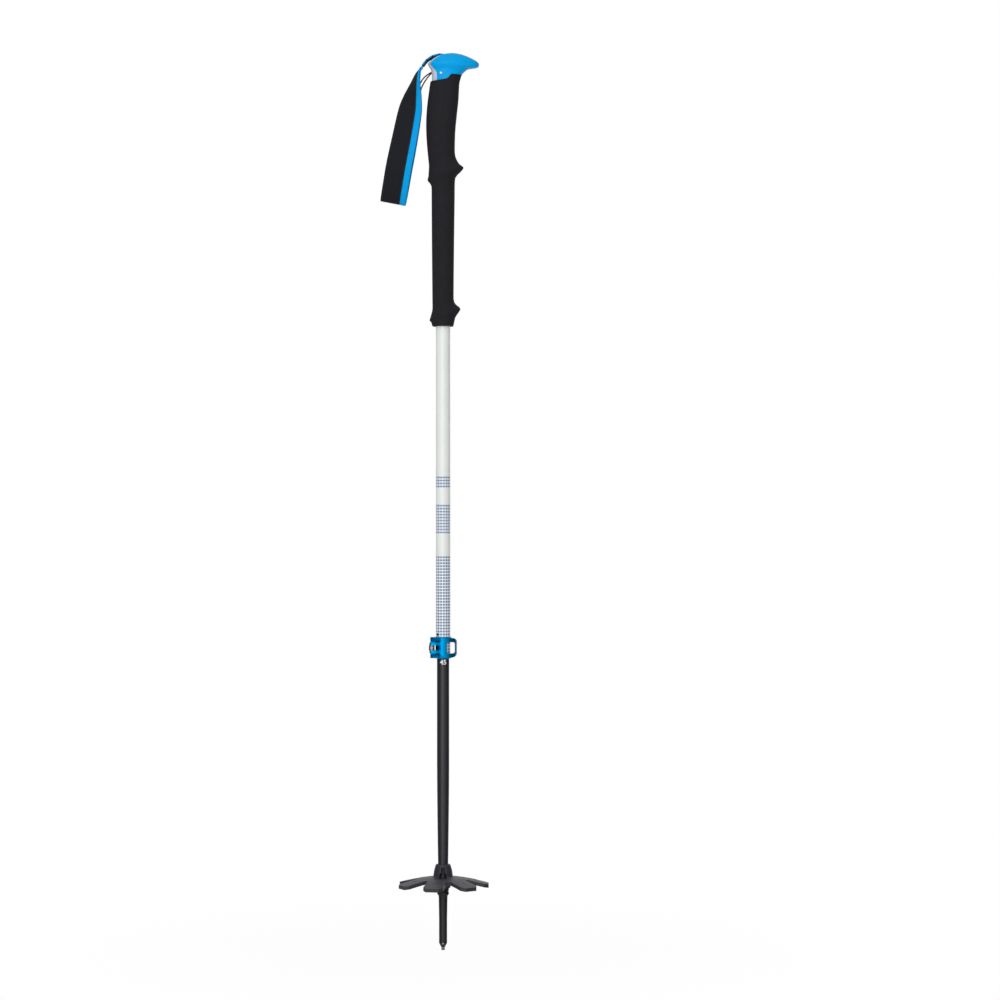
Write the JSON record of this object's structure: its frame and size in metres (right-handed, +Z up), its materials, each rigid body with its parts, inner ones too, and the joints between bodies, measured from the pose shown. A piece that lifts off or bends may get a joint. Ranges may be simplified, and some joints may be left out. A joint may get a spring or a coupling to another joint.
{
  "type": "adjustable ski pole",
  "caption": "Telescoping ski pole with a beaked foam grip, webbing wrist strap, cam-lever shaft clamp, petalled snow basket and a fluted metal tip.",
  "frame": {"origin": "in the hand, on the axis of the tubes inside the foam grip", "axes": "+Z up along the pole to the head, +X the way the beak of the head points, -Y the side of the clamp lever"},
  "size_m": [0.1391, 0.1178, 1.15],
  "materials": {
    "cap_blue": "moulded, satin gloss",
    "core_grey": "moulded",
    "plug_black": "moulded",
    "pin_white": "moulded",
    "web_black": "woven webbing",
    "web_blue": "woven webbing",
    "cord_black": "braided cord",
    "foam_black": "closed-cell foam",
    "tube_white": "white lacquer with a blue dot print",
    "tube_black": "black anodised",
    "clamp_blue": "blue anodised aluminium",
    "steel": "turned",
    "ferrule_black": "moulded",
    "basket_black": "moulded",
    "brass": "turned",
    "carbide": "sintered"
  },
  "bodies": {
    "upper": {"head_cap": "cap_blue", "head_core": "core_grey", "head_plug": "plug_black", "head_pin": "pin_white", "strap_lead": "web_blue", "strap_cord": "cord_black", "grip_foam": "foam_black", "upper_shaft": "tube_white", "lock_collar": "clamp_blue", "lever_barrel": "steel", "saddle_barrel": "steel"},
    "wedge": {"strap_wedge": "plug_black"},
    "strap": {"strap_band": "web_black", "strap_edge": "web_blue"},
    "lever": {"lock_lever": "clamp_blue"},
    "screw": {"tension_screw": "steel"},
    "guide": {"guide_bush": "plug_black"},
    "lower": {"lower_shaft": "tube_black", "tip_ferrule": "ferrule_black", "basket": "basket_black", "tip_pin": "brass", "carbide_tip": "carbide"}
  },
  "joints": [
    {"name": "strap_swing", "type": "hinge", "parent": "upper", "child": "strap", "pos_m": [-0.0266, 0, 0.0723], "axis": [0, 1, 0], "range_deg": [-3, 60], "deforming": ["strap_cord"]},
    {"name": "wedge_lift", "type": "slide", "parent": "upper", "child": "wedge", "axis": [0, 0, 1], "range_m": [0, 0.003]},
    {"name": "lever_open", "type": "hinge", "parent": "upper", "child": "lever", "pos_m": [-0.0144, -0.0106, -0.6722], "axis": [0, 0, -1], "range_deg": [0, 115]},
    {"name": "screw_turn", "type": "hinge", "parent": "upper", "child": "screw", "pos_m": [-0.0144, 0, -0.6722], "axis": [0, 1, 0], "continuous": true},
    {"name": "length_slide", "type": "slide", "parent": "upper", "child": "guide", "axis": [0, 0, 1], "range_m": [-0.3, 0.2]},
    {"name": "lower_swivel", "type": "hinge", "parent": "guide", "child": "lower", "pos_m": [0, 0, -0.6722], "axis": [0, 0, 1], "continuous": true}
  ]
}
